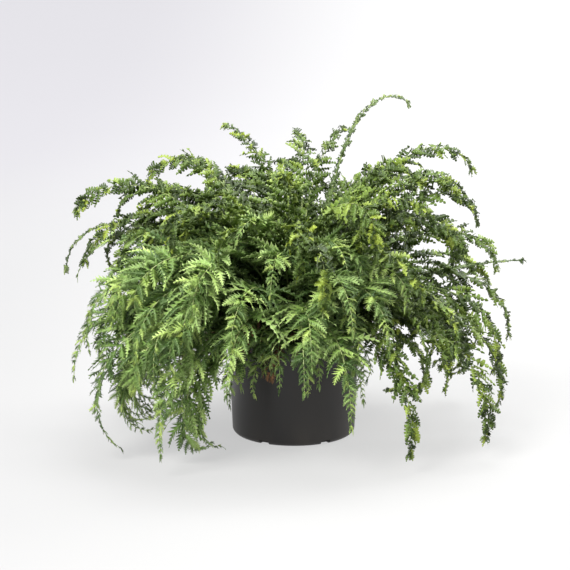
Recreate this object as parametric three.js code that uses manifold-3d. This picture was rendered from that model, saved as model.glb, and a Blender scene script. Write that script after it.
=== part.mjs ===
// A crested lady fern growing in a round black nursery pot.
// Millimetres, +Z up. The origin is the centre of the pot's flat underside, which stands on the
// ground. The plant's best side faces -Y.

import * as THREE from "three";
import { mergeVertices } from "three/addons/utils/BufferGeometryUtils.js";
import Module from "manifold-3d";

// ---- Driving dimensions -------------------------------------------------------------------

const FIT_GAP = 0.3; // between pieces that touch

// The pot: an injection-moulded 17 cm nursery pot.
const POT_HEIGHT = 132;
const POT_BASE_RADIUS = 78;
const POT_TOP_RADIUS = 84; // of the wall, under the rim
const POT_WALL = 1.6;
const POT_FLOOR = 2.4;
const POT_CORNER = 4; // bevel where the wall meets the base
const POT_INNER_CORNER = 5; // and where it meets the floor inside
const RIM_RADIUS = 87;
const RIM_DEPTH = 9;
const RIM_FLARE = 2; // height over which the wall widens into the rim
const RIM_BEVEL = 1.5;
const POT_SEGMENTS = 64;
const SLOT_COUNT = 6; // drainage slots round the foot of the wall
const SLOT_WIDTH = 13;
const SLOT_HEIGHT = 5;
const SLOT_REACH = 10; // how far a slot runs in under the base
const FIRST_SLOT_ANGLE = 1; // degrees from +X
const DRAIN_COUNT = 6; // round holes through the base
const DRAIN_RADIUS = 4.5;
const DRAIN_RING_RADIUS = 42;
const DRAIN_SEGMENTS = 12;

// The potting mix and the crown that the fronds grow from.
const MIX_EDGE_HEIGHT = 116; // where the mix meets the wall
const MIX_CENTRE_HEIGHT = 120;
const MIX_FLAT_RADIUS = 58; // the level middle, where the crown sits
const MIX_FOOT = 6; // height at which the mix reaches the wall
const MIX_FOOT_RADIUS = 71;
const MIX_WALL_GAP = 0.5;
const MIX_SEGMENTS = 32;
const CROWN_RADIUS = 46;
const CROWN_SPHERE_RADIUS = 66; // the crown is a low cap of this sphere
const CROWN_SEGMENTS = 24;
const CROWN_RINGS = 4;

// What every frond shares.
const STIPE_RADIUS = 1.6;
const TIP_RADIUS = 0.7;
const STIPE_ROWS = 4; // cross-sections along the bare stipe
const BARE_SHARE = 0.2; // of a frond's length is bare stipe
const PINNA_PITCH = 22; // along the rachis, between two modelled pairs of pinnae
const PINNA_SWEEP = 0.42; // a pinna leans forward by this share of its length
const PINNA_DROOP = 0.15; // and hangs by this share of it
const NOTCH_WIDTH = 3.2; // half width of the blade between the lowest two pairs of pinnae
const NOTCH_TAPER = 0.7; // share of that width lost by the tip
const CURVE_STEPS = 80;

// ---- Materials ----------------------------------------------------------------------------

const finish = (color, roughness) => new THREE.MeshStandardMaterial({ color, roughness, metalness: 0 });
const potPlastic = finish(0x2f2c2a, 0.5);
const peat = finish(0x33251a, 1.0);
const rhizomeBark = finish(0x4a3524, 0.95);
const FROND_FINISH = {
  lace: finish(0x74a557, 0.6),
  crisped: finish(0x4f7330, 0.6),
  tail: finish(0x5d7a45, 0.6),
};

// ---- Fronds -------------------------------------------------------------------------------

// Each tier is a ring of fronds from the crown. Every row is one frond:
// [style, azimuth, launch, length, tip, bend, sweep, roll, pinna]
//   azimuth  degrees from +X towards +Y, of the direction that the frond leans to
//   launch   degrees above the horizon at its base
//   length   mm, from its base to its tip
//   tip      degrees above the horizon at its tip, so a hanging tip is negative
//   bend     1 bends evenly, and a larger number keeps the bend for the outer end
//   sweep    degrees that its heading turns by on the way to its tip
//   roll     degrees that its blade is turned about the rachis
//   pinna    mm, the length of its longest pinna
const TIERS = [
  {
    name: "heart",
    baseRadius: 7,
    fronds: [
      ["tail", 15, 76, 345, -50, 7, 0, 30, 18],
      ["crisped", 165, 87, 275, 25, 3, 0, -30, 30],
      ["crisped", 48, 80, 265, 30, 3, -10, 20, 28],
      ["crisped", 120, 80, 275, -60, 3, -20, 0, 32],
      ["crisped", 262, 84, 275, -20, 2.5, 0, 10, 30],
    ],
  },
  {
    name: "top",
    baseRadius: 15,
    fronds: [
      ["crisped", 0, 67, 345, -70, 4, 0, 40, 28],
      ["crisped", 36, 72, 290, -40, 3, 0, 25, 32],
      ["crisped", 74, 75, 310, -10, 3, 20, 0, 32],
      ["crisped", 108, 72, 305, -30, 2.5, -20, 0, 32],
      ["crisped", 144, 75, 290, -10, 2.5, 0, -20, 32],
      ["crisped", 178, 72, 310, -80, 4, 0, -40, 30],
      ["crisped", 212, 72, 265, -50, 2.5, 0, -20, 34],
      ["lace", 246, 74, 250, -50, 2.2, 0, 0, 40],
      ["lace", 290, 74, 240, -60, 2.2, 0, 0, 40],
      ["crisped", 328, 70, 275, -50, 2.5, 0, 20, 34],
    ],
  },
  {
    name: "upper",
    baseRadius: 22,
    fronds: [
      ["crisped", 354, 58, 305, -85, 4, 0, 35, 32],
      ["crisped", 20, 60, 320, -60, 3, 0, 20, 34],
      ["crisped", 50, 57, 320, -50, 3, 0, 0, 36],
      ["crisped", 86, 61, 310, -60, 2.5, 15, 0, 36],
      ["crisped", 122, 58, 320, -50, 2.5, -15, 0, 36],
      ["crisped", 155, 62, 325, -60, 2.5, 0, -20, 36],
      ["crisped", 184, 60, 345, -60, 2.8, 0, -45, 36],
      ["lace", 210, 60, 320, -100, 2, 0, -20, 44],
      ["lace", 236, 57, 290, -100, 2, 0, 0, 44],
      ["lace", 262, 62, 260, -80, 2, 0, 0, 44],
      ["lace", 287, 58, 265, -80, 2, 0, 0, 42],
      ["crisped", 310, 60, 275, -70, 2, 0, 0, 36],
      ["crisped", 331, 64, 290, -70, 2.5, 0, 20, 34],
    ],
  },
  {
    name: "middle",
    baseRadius: 30,
    fronds: [
      ["crisped", 357, 50, 295, -85, 3, 0, 35, 32],
      ["tail", 11, 36, 285, 0, 0.8, 0, 0, 16],
      ["crisped", 34, 48, 320, -70, 2, 0, 0, 36],
      ["crisped", 63, 44, 320, -70, 2, 0, 0, 36],
      ["crisped", 100, 48, 320, -70, 2, 0, 0, 36],
      ["crisped", 136, 44, 320, -70, 2, 0, 0, 36],
      ["lace", 163, 49, 330, -70, 2, 0, -20, 42],
      ["tail", 181, 48, 335, -90, 3, 0, -20, 18],
      ["lace", 201, 46, 330, -110, 2, 0, -20, 46],
      ["lace", 226, 44, 325, -115, 2, 0, 0, 46],
      ["lace", 251, 49, 250, -85, 2, 0, 0, 48],
      ["lace", 275, 45, 240, -85, 2, 0, 0, 48],
      ["lace", 299, 49, 260, -95, 2, 0, 0, 42],
      ["crisped", 322, 44, 285, -95, 2, 0, 0, 36],
      ["crisped", 342, 42, 310, -110, 2, 0, 20, 34],
    ],
  },
  {
    name: "lower",
    baseRadius: 38,
    fronds: [
      ["crisped", 3, 36, 305, -95, 2, 0, 20, 30],
      ["crisped", 350, 30, 305, -105, 1.6, 0, 20, 32],
      ["crisped", 329, 28, 320, -105, 1.5, 0, 20, 34],
      ["crisped", 306, 28, 280, -105, 1.3, 0, 0, 34],
      ["lace", 286, 36, 260, -95, 1.4, 0, 0, 42],
      ["lace", 273, 42, 220, -86, 1.5, 0, 0, 50],
      ["lace", 251, 36, 255, -88, 1.6, 0, 0, 50],
      ["lace", 233, 30, 310, -105, 1.4, 0, 0, 44],
      ["lace", 212, 28, 365, -145, 1.8, 0, 0, 40],
      ["lace", 193, 34, 308, -95, 1.8, 0, -20, 42],
      ["crisped", 35, 30, 300, -100, 1.5, 0, 0, 36],
      ["crisped", 74, 33, 290, -100, 1.4, 0, 0, 36],
      ["crisped", 116, 29, 300, -100, 1.5, 0, 0, 36],
      ["lace", 154, 33, 300, -100, 1.6, 0, 0, 42],
    ],
  },
];

const degrees = THREE.MathUtils.degToRad;

// The points along a frond's rachis, each with the frame that its blade lies in.
function rachisOf({ azimuth, launch, length, tip, bend, sweep, roll, baseRadius }) {
  const heading = degrees(azimuth);
  const crownDrop = CROWN_SPHERE_RADIUS - Math.sqrt(CROWN_SPHERE_RADIUS ** 2 - CROWN_RADIUS ** 2);
  const sphereHeight = MIX_CENTRE_HEIGHT + FIT_GAP + crownDrop - CROWN_SPHERE_RADIUS;
  const at = new THREE.Vector3(
    baseRadius * Math.cos(heading),
    baseRadius * Math.sin(heading),
    sphereHeight + Math.sqrt((CROWN_SPHERE_RADIUS + FIT_GAP) ** 2 - baseRadius ** 2),
  );
  const step = length / CURVE_STEPS;
  const points = [];
  for (let i = 0; i <= CURVE_STEPS; i++) {
    const share = i / CURVE_STEPS;
    const slope = degrees(launch + (tip - launch) * share ** bend);
    const turned = heading + degrees(sweep) * share ** 2;
    const along = new THREE.Vector3(
      Math.cos(slope) * Math.cos(turned),
      Math.cos(slope) * Math.sin(turned),
      Math.sin(slope),
    );
    const side = new THREE.Vector3(Math.sin(turned), -Math.cos(turned), 0).applyAxisAngle(
      along,
      degrees(roll) * share,
    );
    const up = side.clone().cross(along);
    points.push({ at: at.clone(), along, side, up });
    at.addScaledVector(along, step);
  }
  return points;
}

function rachisAt(points, share) {
  const exact = THREE.MathUtils.clamp(share, 0, 1) * CURVE_STEPS;
  const i = Math.min(Math.floor(exact), CURVE_STEPS - 1);
  const [a, b] = [points[i], points[i + 1]];
  return {
    at: a.at.clone().lerp(b.at, exact - i),
    along: a.along,
    side: a.side,
    up: a.up,
  };
}

// A pinna's length as a share of the longest, from the lowest pinna at 0 to the tip at 1.
const OUTLINES = {
  lace: (s) => 0.06 + 0.94 * Math.exp(-(((s - 0.32) / 0.34) ** 2)),
  crisped: (s) => 0.7 + 0.9 * s - 1.45 * s ** 2,
  tail: (s) => 1 - 0.85 * s ** 0.6,
};

// One frond as a closed loft. Each section is a diamond: left edge, top, right edge, underside.
function frondGeometry(frond) {
  const points = rachisOf(frond);
  const rows = [];
  const addRow = (share, halfWidth, reach, droop) => {
    const { at, along, side, up } = rachisAt(points, share);
    const thick = THREE.MathUtils.lerp(STIPE_RADIUS, TIP_RADIUS, share);
    const edge = (sign) =>
      at
        .clone()
        .addScaledVector(side, sign * halfWidth)
        .addScaledVector(along, reach)
        .addScaledVector(up, -droop);
    rows.push([
      edge(-1),
      at.clone().addScaledVector(up, thick),
      edge(1),
      at.clone().addScaledVector(up, -thick),
    ]);
  };
  for (let i = 0; i < STIPE_ROWS; i++) addRow((BARE_SHARE * i) / STIPE_ROWS, STIPE_RADIUS, 0, 0);
  const pairs = Math.round((frond.length * (1 - BARE_SHARE)) / PINNA_PITCH);
  const outline = OUTLINES[frond.style];
  for (let i = 0; i < pairs; i++) {
    const shareAt = (n) => BARE_SHARE + ((1 - BARE_SHARE) * n) / pairs;
    const pinna = frond.pinna * outline((i + 0.5) / pairs);
    addRow(shareAt(i), NOTCH_WIDTH * (1 - NOTCH_TAPER * shareAt(i)), 0, 0);
    addRow(shareAt(i + 0.5), pinna, pinna * PINNA_SWEEP, pinna * PINNA_DROOP);
  }
  addRow(1, TIP_RADIUS, 0, 0);
  return loft(rows);
}

// A closed surface through rows of four corners, with a flat cap on the first and the last.
function loft(rows) {
  const corners = rows[0].length;
  const position = rows.flat().flatMap((p) => [p.x, p.y, p.z]);
  const index = [];
  for (let row = 0; row + 1 < rows.length; row++)
    for (let i = 0; i < corners; i++) {
      const a = row * corners + i;
      const b = row * corners + ((i + 1) % corners);
      index.push(a, b, b + corners, a, b + corners, a + corners);
    }
  const last = (rows.length - 1) * corners;
  index.push(0, 2, 1, 0, 3, 2, last, last + 1, last + 2, last, last + 2, last + 3);
  const geometry = new THREE.BufferGeometry();
  geometry.setAttribute("position", new THREE.Float32BufferAttribute(position, 3));
  geometry.setIndex(index);
  geometry.computeVertexNormals();
  return geometry;
}

// ---- Pot, mix and crown -------------------------------------------------------------------

const wasm = await Module();
wasm.setup();

function solidOf(geometry) {
  const bare = new THREE.BufferGeometry();
  bare.setAttribute("position", geometry.getAttribute("position"));
  if (geometry.index) bare.setIndex(geometry.index);
  const merged = mergeVertices(bare, 1e-3);
  return new wasm.Manifold(
    new wasm.Mesh({
      numProp: 3,
      vertProperties: merged.attributes.position.array,
      triVerts: new Uint32Array(merged.index.array),
    }),
  );
}

function geometryOf(solid) {
  const mesh = solid.getMesh();
  const geometry = new THREE.BufferGeometry();
  geometry.setAttribute("position", new THREE.BufferAttribute(mesh.vertProperties, 3));
  geometry.setIndex(new THREE.BufferAttribute(mesh.triVerts, 1));
  geometry.computeVertexNormals();
  return geometry;
}

// A profile of [radius, height] pairs turned about the Z axis.
function turned(profile, segments) {
  const geometry = new THREE.LatheGeometry(
    profile.map(([r, z]) => new THREE.Vector2(r, z)),
    segments,
  );
  return geometry.rotateX(Math.PI / 2);
}

const wallRadiusAt = (z) => THREE.MathUtils.lerp(POT_BASE_RADIUS, POT_TOP_RADIUS, z / POT_HEIGHT);

function potGeometry() {
  const rimFoot = POT_HEIGHT - RIM_DEPTH;
  const shell = turned(
    [
      [0, 0],
      [POT_BASE_RADIUS - POT_CORNER, 0],
      [wallRadiusAt(POT_CORNER), POT_CORNER],
      [wallRadiusAt(rimFoot - RIM_FLARE), rimFoot - RIM_FLARE],
      [RIM_RADIUS, rimFoot],
      [RIM_RADIUS, POT_HEIGHT - RIM_BEVEL],
      [RIM_RADIUS - RIM_BEVEL, POT_HEIGHT],
      [wallRadiusAt(POT_HEIGHT) - POT_WALL, POT_HEIGHT],
      [wallRadiusAt(POT_INNER_CORNER) - POT_WALL, POT_INNER_CORNER],
      [POT_BASE_RADIUS - POT_INNER_CORNER, POT_FLOOR],
      [0, POT_FLOOR],
    ],
    POT_SEGMENTS,
  );
  let pot = solidOf(shell);
  for (let i = 0; i < SLOT_COUNT; i++) {
    const slot = new THREE.BoxGeometry(2 * SLOT_REACH, SLOT_WIDTH, 2 * SLOT_HEIGHT);
    slot.translate(POT_BASE_RADIUS, 0, 0);
    slot.rotateZ(degrees(FIRST_SLOT_ANGLE + (i * 360) / SLOT_COUNT));
    pot = pot.subtract(solidOf(slot));
  }
  for (let i = 0; i < DRAIN_COUNT; i++) {
    const drain = new THREE.CylinderGeometry(DRAIN_RADIUS, DRAIN_RADIUS, 4 * POT_FLOOR, DRAIN_SEGMENTS);
    drain.rotateX(Math.PI / 2).translate(DRAIN_RING_RADIUS, 0, 0);
    drain.rotateZ(degrees(FIRST_SLOT_ANGLE + ((i + 0.5) * 360) / DRAIN_COUNT));
    pot = pot.subtract(solidOf(drain));
  }
  return geometryOf(pot);
}

function mixGeometry() {
  const sideRadiusAt = (z) => wallRadiusAt(z) - POT_WALL - MIX_WALL_GAP;
  const base = POT_FLOOR + FIT_GAP;
  return turned(
    [
      [0, base],
      [MIX_FOOT_RADIUS, base],
      [sideRadiusAt(MIX_FOOT), MIX_FOOT],
      [sideRadiusAt(MIX_EDGE_HEIGHT), MIX_EDGE_HEIGHT],
      [MIX_FLAT_RADIUS, MIX_CENTRE_HEIGHT],
      [0, MIX_CENTRE_HEIGHT],
    ],
    MIX_SEGMENTS,
  );
}

function crownGeometry() {
  const foot = MIX_CENTRE_HEIGHT + FIT_GAP;
  const edge = Math.asin(CROWN_RADIUS / CROWN_SPHERE_RADIUS);
  const centre = foot - CROWN_SPHERE_RADIUS * Math.cos(edge);
  const profile = [[0, foot]];
  for (let i = 0; i <= CROWN_RINGS; i++) {
    const angle = edge * (1 - i / CROWN_RINGS);
    profile.push([CROWN_SPHERE_RADIUS * Math.sin(angle), centre + CROWN_SPHERE_RADIUS * Math.cos(angle)]);
  }
  profile.at(-1)[0] = 0;
  return turned(profile, CROWN_SEGMENTS);
}

// ---- The assembly -------------------------------------------------------------------------

const fern = new THREE.Group();

function add(name, geometry, material) {
  const mesh = new THREE.Mesh(geometry, material);
  mesh.name = name;
  fern.add(mesh);
}

add("nursery_pot", potGeometry(), potPlastic);
add("potting_mix", mixGeometry(), peat);
add("rhizome_crown", crownGeometry(), rhizomeBark);

// A frond that would run into one already placed is turned about the crown, lifted at its base,
// and its blade rolled, by the first of these nudges that leaves it clear. All are in degrees.
const NUDGES = [0, 3, -3, 6, -6, 9, -9].flatMap((turn) =>
  [0, 5, -5].flatMap((lift) => [0, 15, -15, 30, -30].map((tilt) => ({ turn, lift, tilt }))),
);
const placed = [];

function makeRoomFor(frond) {
  for (const { turn, lift, tilt } of NUDGES) {
    const azimuth = frond.azimuth + turn;
    const launch = frond.launch + lift;
    const roll = frond.roll + tilt;
    const geometry = frondGeometry({ ...frond, azimuth, launch, roll });
    const solid = solidOf(geometry);
    if (placed.some((other) => other.intersect(solid).volume() > 0)) continue;
    placed.push(solid);
    return geometry;
  }
  throw new Error(`no room for the frond at ${frond.azimuth} degrees`);
}

for (const tier of TIERS)
  tier.fronds.forEach(([style, azimuth, launch, length, tip, bend, sweep, roll, pinna], i) => {
    const { baseRadius } = tier;
    const frond = { style, azimuth, launch, length, tip, bend, sweep, roll, pinna, baseRadius };
    const name = `${style}_frond_${tier.name}_${String(i + 1).padStart(2, "0")}`;
    add(name, makeRoomFor(frond), FROND_FINISH[style]);
  });

export default fern;
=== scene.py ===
"""A crested fern in a round black nursery pot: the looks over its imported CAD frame.

Every main frond is grown along the line and the outline of its CAD solid, and young fronds fill
the space between them. Metres, +Z up, and the camera looks along +Y.
"""

import math

import bpy
import numpy as np
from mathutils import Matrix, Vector


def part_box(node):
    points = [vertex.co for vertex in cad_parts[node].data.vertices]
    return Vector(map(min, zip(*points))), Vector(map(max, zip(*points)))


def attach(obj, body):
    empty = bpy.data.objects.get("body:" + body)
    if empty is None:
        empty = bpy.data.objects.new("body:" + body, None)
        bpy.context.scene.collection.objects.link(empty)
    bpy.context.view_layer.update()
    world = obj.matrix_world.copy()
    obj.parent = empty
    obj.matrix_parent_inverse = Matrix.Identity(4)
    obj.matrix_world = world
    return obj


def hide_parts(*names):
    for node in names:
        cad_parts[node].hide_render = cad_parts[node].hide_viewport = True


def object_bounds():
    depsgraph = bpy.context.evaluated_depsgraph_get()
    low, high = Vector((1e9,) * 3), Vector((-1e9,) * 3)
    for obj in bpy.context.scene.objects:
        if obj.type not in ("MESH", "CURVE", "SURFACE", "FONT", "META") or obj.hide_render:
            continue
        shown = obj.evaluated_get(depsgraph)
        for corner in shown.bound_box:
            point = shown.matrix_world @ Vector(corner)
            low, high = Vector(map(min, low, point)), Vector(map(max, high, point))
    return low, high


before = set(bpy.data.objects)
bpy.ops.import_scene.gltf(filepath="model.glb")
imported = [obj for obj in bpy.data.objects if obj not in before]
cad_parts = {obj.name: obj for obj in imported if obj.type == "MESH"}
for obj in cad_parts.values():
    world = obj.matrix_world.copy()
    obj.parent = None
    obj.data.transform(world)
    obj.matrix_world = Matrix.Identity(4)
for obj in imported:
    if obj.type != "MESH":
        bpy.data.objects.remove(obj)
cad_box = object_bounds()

MM = 0.001
UP = np.array([0.0, 0.0, 1.0])

# ---- Small tools --------------------------------------------------------------------------


def unit(v):
    """v, or each row of v, at length 1."""
    return v / np.maximum(np.linalg.norm(v, axis=-1, keepdims=True), 1e-12)


def along_rows(rows, at, positions):
    """Each column of rows, given at the places `at`, read off at the places `positions`."""
    return np.stack([np.interp(positions, at, column) for column in rows.T], -1)


def dot(a, b):
    """The dot product of each row of a and b, kept as a column."""
    return (a * b).sum(-1, keepdims=True)


def loft(sections):
    """Closed tubes through sections[tube, row, corner, xyz], as vertices and quads.

    Corners run left, top, right, underside, so that the quads face out.
    """
    tubes, rows, corners, _ = sections.shape
    ring = np.arange(corners)
    first = np.arange(rows - 1)[:, None] * corners
    near, far = first + ring, first + (ring + 1) % corners
    sides = np.stack([near, far, far + corners, near + corners], -1).reshape(-1, 4)
    half = np.arange(corners // 2 - 1)
    cap = np.stack([half, half + 1, corners - 2 - half, corners - 1 - half], -1)
    quads = np.concatenate([sides, cap[:, ::-1], cap + (rows - 1) * corners])
    offsets = np.arange(tubes)[:, None, None] * (rows * corners)
    return sections.reshape(-1, 3), (quads + offsets).reshape(-1, 4)


NEAR_FLOOR = 5 * MM  # leaf lower than this is eased up, so that it lies on the floor
LIFT = 0.5 * MM  # and how far above the floor the lowest leaf stays


ON_LEAF, ON_STALK, ON_SCALE = range(3)  # material indices of a frond's piece
ON_PEAT, ON_CHIP = range(2)  # and of the mix
ON_BARK, ON_CROWN_SCALE, ON_LITTER = range(3)  # and of the crown


class Build:
    """Gathers the lofts of one piece, with a material index and a colour of data for each."""

    def __init__(self):
        self.vertices, self.quads, self.materials, self.data = [], [], [], []
        self.count = 0

    def add(self, sections, data, material):
        """data[tube, row, corner, 4] is kept on the vertices for the material to read."""
        vertices, quads = loft(sections)
        self.vertices.append(vertices)
        self.quads.append(quads + self.count)
        self.materials.append(np.full(len(quads), material))
        self.data.append(np.broadcast_to(data, sections.shape[:3] + (4,)).reshape(-1, 4))
        self.count += len(vertices)

    def piece(self, name, materials, slot, replaces=None, smooth=True):
        """Makes the object from all that was added."""
        vertices = np.concatenate(self.vertices)
        height = vertices[:, 2]
        resting = LIFT + (NEAR_FLOOR - LIFT) * np.exp((height - NEAR_FLOOR) / (NEAR_FLOOR - LIFT))
        vertices[:, 2] = np.where(height < NEAR_FLOOR, resting, height)
        quads = np.concatenate(self.quads)
        mesh = bpy.data.meshes.new(name)
        mesh.vertices.add(len(vertices))
        mesh.vertices.foreach_set("co", vertices.ravel())
        mesh.loops.add(quads.size)
        mesh.loops.foreach_set("vertex_index", quads.ravel())
        mesh.polygons.add(len(quads))
        mesh.polygons.foreach_set("loop_start", np.arange(0, quads.size, 4))
        mesh.polygons.foreach_set("material_index", np.concatenate(self.materials))
        mesh.polygons.foreach_set("use_smooth", np.full(len(quads), smooth))
        growth = mesh.color_attributes.new("growth", "FLOAT_COLOR", "POINT")
        growth.data.foreach_set("color", np.concatenate(self.data).ravel())
        mesh.update(calc_edges=True)
        finished(bpy.data.objects.new(name, mesh), materials, replaces)


def finished(piece, materials, replaces=None):
    bpy.context.collection.objects.link(piece)
    for material in materials:
        piece.data.materials.append(material)
    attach(piece, "root")
    if replaces:
        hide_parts(replaces)


# ---- Materials ----------------------------------------------------------------------------


class Nodes:
    """A material's node tree, with short names for what the materials here use."""

    def __init__(self, name):
        self.material = bpy.data.materials.new(name)
        self.material.use_nodes = True
        self.tree = self.material.node_tree
        self.shader = self.tree.nodes["Principled BSDF"]
        self.output = self.tree.nodes["Material Output"]

    def node(self, kind, settings=(), **inputs):
        node = self.tree.nodes.new(kind)
        for name, value in dict(settings).items():
            setattr(node, name, value)
        for name, value in inputs.items():
            self.plug(value, node.inputs[name.replace("_", " ")])
        return node

    def plug(self, value, socket):
        if isinstance(value, bpy.types.NodeSocket):
            self.tree.links.new(value, socket)
        else:
            socket.default_value = value

    def place(self, scale=(1, 1, 1)):
        """The place in the frame, stretched by scale."""
        coordinates = self.node("ShaderNodeTexCoord").outputs["Object"]
        mapping = self.node("ShaderNodeMapping", Vector=coordinates, Scale=scale)
        return mapping.outputs["Vector"]

    def noise(self, scale, detail=3.0, vector=None, roughness=0.5):
        node = self.node("ShaderNodeTexNoise", Scale=scale, Detail=detail, Roughness=roughness)
        self.plug(vector or self.place(), node.inputs["Vector"])
        return node.outputs["Fac"]

    def span(self, value, low, high, to_low=0.0, to_high=1.0):
        """Eases from to_low to to_high as value goes from low to high."""
        node = self.node("ShaderNodeMapRange")
        node.interpolation_type = "SMOOTHSTEP"
        for i, v in enumerate((value, low, high, to_low, to_high)):
            self.plug(v, node.inputs[i])
        return node.outputs["Result"]

    def math(self, operation, a, b=0.5):
        node = self.node("ShaderNodeMath", {"operation": operation})
        self.plug(a, node.inputs[0])
        self.plug(b, node.inputs[1])
        return node.outputs[0]

    def mix(self, factor, a, b):
        node = self.node("ShaderNodeMix", {"data_type": "RGBA"})
        self.plug(factor, node.inputs["Factor"])
        self.plug(a, node.inputs[6])
        self.plug(b, node.inputs[7])
        return node.outputs[2]

    def growth(self):
        """The piece's growth data: place on the frond, place across, chance, and place along."""
        read = self.node("ShaderNodeAttribute", {"attribute_name": "growth"})
        split = self.node("ShaderNodeSeparateColor", Color=read.outputs["Color"])
        return [*split.outputs, read.outputs["Alpha"]]

    def bump(self, height, strength, distance):
        node = self.node("ShaderNodeBump", Strength=strength, Distance=distance, Height=height)
        self.plug(node.outputs["Normal"], self.shader.inputs["Normal"])


def rgb(r, g, b):
    """A colour given as it looks on a screen, 0 to 255, in the linear light shaders work in."""
    screen = np.array([r, g, b]) / 255
    linear = np.where(screen < 0.04045, screen / 12.92, ((screen + 0.055) / 1.055) ** 2.4)
    return (*linear, 1.0)


PAINTED_SHADE = 0.45  # of the deep green, for the leaf nearest the crown: painted shade, standing in for the shade deep inside the plant
TRANSLUCENCY = 0.2  # of a leaf


def leaf_material(name, deep, mid, light, flush):
    """Leaf green from deep to light, with painted shade on the leaf nearest the crown. flush is
    the yellow of the youngest leaf.
    """
    # painted shade: a dim copy of the deep green, for leaf deep inside the plant
    painted_shade = (*(PAINTED_SHADE * value for value in deep[:3]), 1.0)
    m = Nodes(name)
    on_frond, across, chance, along = m.growth()
    broad = m.noise(22.0, 2.0)
    fine = m.noise(420.0, 4.0, roughness=0.65)
    tone = m.math("ADD", m.math("MULTIPLY", broad, 0.75), m.math("MULTIPLY", chance, 0.45))
    colour = m.mix(m.span(tone, 0.35, 0.85), deep, mid)
    outward = m.span(across, 0.1, 0.9, 0.25, 1.0)
    edge = m.math("MULTIPLY", outward, m.span(along, 0.0, 0.8, 0.5, 1.0))
    bright = m.math("MULTIPLY", edge, m.span(tone, 0.4, 0.95, 0.1, 1.0))
    colour = m.mix(bright, colour, light)
    young = m.math("MULTIPLY", m.span(on_frond, 0.45, 1.0), m.span(chance, 0.6, 1.0))
    colour = m.mix(m.math("MULTIPLY", young, 0.55), colour, flush)
    colour = m.mix(m.span(across, 0.0, 0.12, 0.4, 0.0), colour, light)
    colour = m.mix(m.span(fine, 0.3, 0.75, 0.0, 0.3), colour, deep)
    # painted shade: leaf near the frond's foot, deep inside the plant, is darkened towards the dim
    # deep green
    colour = m.mix(m.span(on_frond, 0.12, 0.6, 0.75, 0.0), colour, painted_shade)
    m.plug(colour, m.shader.inputs["Base Color"])
    m.plug(m.span(fine, 0.25, 0.8, 0.36, 0.6), m.shader.inputs["Roughness"])
    m.shader.inputs["Specular IOR Level"].default_value = 0.4
    ribs = m.math("ABSOLUTE", m.math("SINE", m.math("MULTIPLY", along, 60.0)))
    m.bump(m.math("ADD", fine, m.math("MULTIPLY", ribs, 0.4)), 0.35, 0.0004)
    through = m.node("ShaderNodeBsdfTranslucent", Color=m.mix(0.35, colour, flush))
    blend = m.node("ShaderNodeMixShader", Fac=TRANSLUCENCY)
    m.plug(m.shader.outputs[0], blend.inputs[1])
    m.plug(through.outputs[0], blend.inputs[2])
    m.plug(blend.outputs[0], m.output.inputs["Surface"])
    return m.material


def stalk_material(name, base, green):
    """A stalk that is scaly brown at its foot and turns green along its length."""
    m = Nodes(name)
    on_frond, across, _, _ = m.growth()
    fleck = m.noise(700.0, 4.0, roughness=0.7)
    rise = m.math("ADD", on_frond, m.math("MULTIPLY", fleck, 0.12))
    colour = m.mix(m.span(rise, 0.1, 0.42), base, green)
    colour = m.mix(m.span(fleck, 0.5, 0.7, 0.0, 0.5), colour, rgb(70, 52, 34))
    colour = m.mix(m.span(across, 0.4, 1.0, 0.0, 0.35), colour, rgb(196, 205, 140))
    m.plug(colour, m.shader.inputs["Base Color"])
    m.plug(m.span(fleck, 0.3, 0.7, 0.35, 0.6), m.shader.inputs["Roughness"])
    m.bump(fleck, 0.4, 0.0004)
    return m.material


def bark_material(name, dark, pale):
    """Dull, rough brown for bark, peat, scales and dead leaf."""
    m = Nodes(name)
    _, _, chance, _ = m.growth()
    grain = m.noise(260.0, 6.0, roughness=0.7)
    tone = m.math("ADD", m.math("MULTIPLY", chance, 0.6), m.math("MULTIPLY", grain, 0.5))
    colour = m.mix(m.span(tone, 0.3, 0.9), dark, pale)
    m.plug(colour, m.shader.inputs["Base Color"])
    m.plug(m.span(grain, 0.3, 0.7, 0.75, 0.98), m.shader.inputs["Roughness"])
    m.bump(grain, 0.6, 0.001)
    return m.material


def pot_material():
    """Black moulded plastic, a little dusty low down."""
    m = Nodes("black_moulded_plastic")
    speckle = m.noise(900.0, 3.0)
    drift = m.noise(14.0, 3.0, m.place((1, 1, 0.25)))
    height = m.node("ShaderNodeSeparateXYZ", Vector=m.place()).outputs["Z"]
    dusty = m.math("MULTIPLY", m.span(height, 0.0, 0.05, 0.5, 0.08), m.span(drift, 0.35, 0.75))
    colour = m.mix(m.span(drift, 0.3, 0.7), rgb(21, 18, 17), rgb(29, 26, 24))
    colour = m.mix(dusty, colour, rgb(62, 56, 48))
    m.plug(colour, m.shader.inputs["Base Color"])
    m.plug(m.span(drift, 0.3, 0.75, 0.38, 0.56), m.shader.inputs["Roughness"])
    m.bump(speckle, 0.12, 0.0003)
    return m.material


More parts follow.
